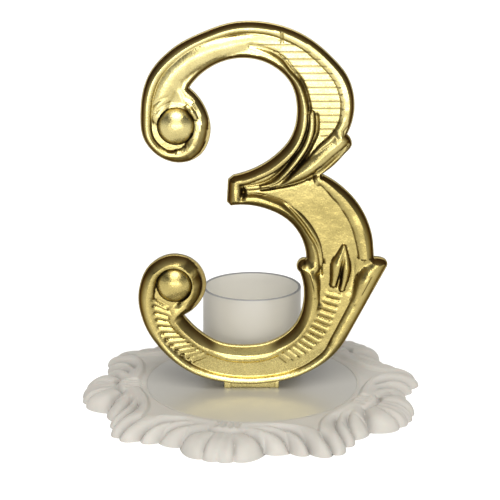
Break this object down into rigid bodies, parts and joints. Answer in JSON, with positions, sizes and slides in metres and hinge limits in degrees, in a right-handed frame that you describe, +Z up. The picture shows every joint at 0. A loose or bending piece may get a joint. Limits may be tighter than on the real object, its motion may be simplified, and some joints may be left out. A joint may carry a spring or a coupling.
{
  "type": "table number holder",
  "caption": "Gold ornamental numeral 3 that plugs into a round white base with a scalloped floral rim and a tealight cup behind the numeral.",
  "frame": {"origin": "centre of the round base, on the surface it stands on", "axes": "+Z up; the numeral faces -Y; +X to the right of a reader in front of it"},
  "size_m": [0.1424, 0.1416, 0.1552],
  "materials": {
    "white_bisque": "matte moulded plastic",
    "white_gloss": "smooth glossy moulded plastic",
    "white_cup": "smooth glossy, slightly translucent moulded plastic",
    "gold": "gold vacuum metallised plastic"
  },
  "bodies": {
    "base": {"floral_base": "white_bisque", "centre_disc": "white_gloss", "candle_cup": "white_cup"},
    "numeral": {"numeral_back": "gold", "numeral_face": "gold"}
  },
  "joints": [
    {"name": "numeral_lift", "type": "slide", "parent": "base", "child": "numeral", "axis": [0, 0, 1], "range_m": [0, 0.03]}
  ]
}
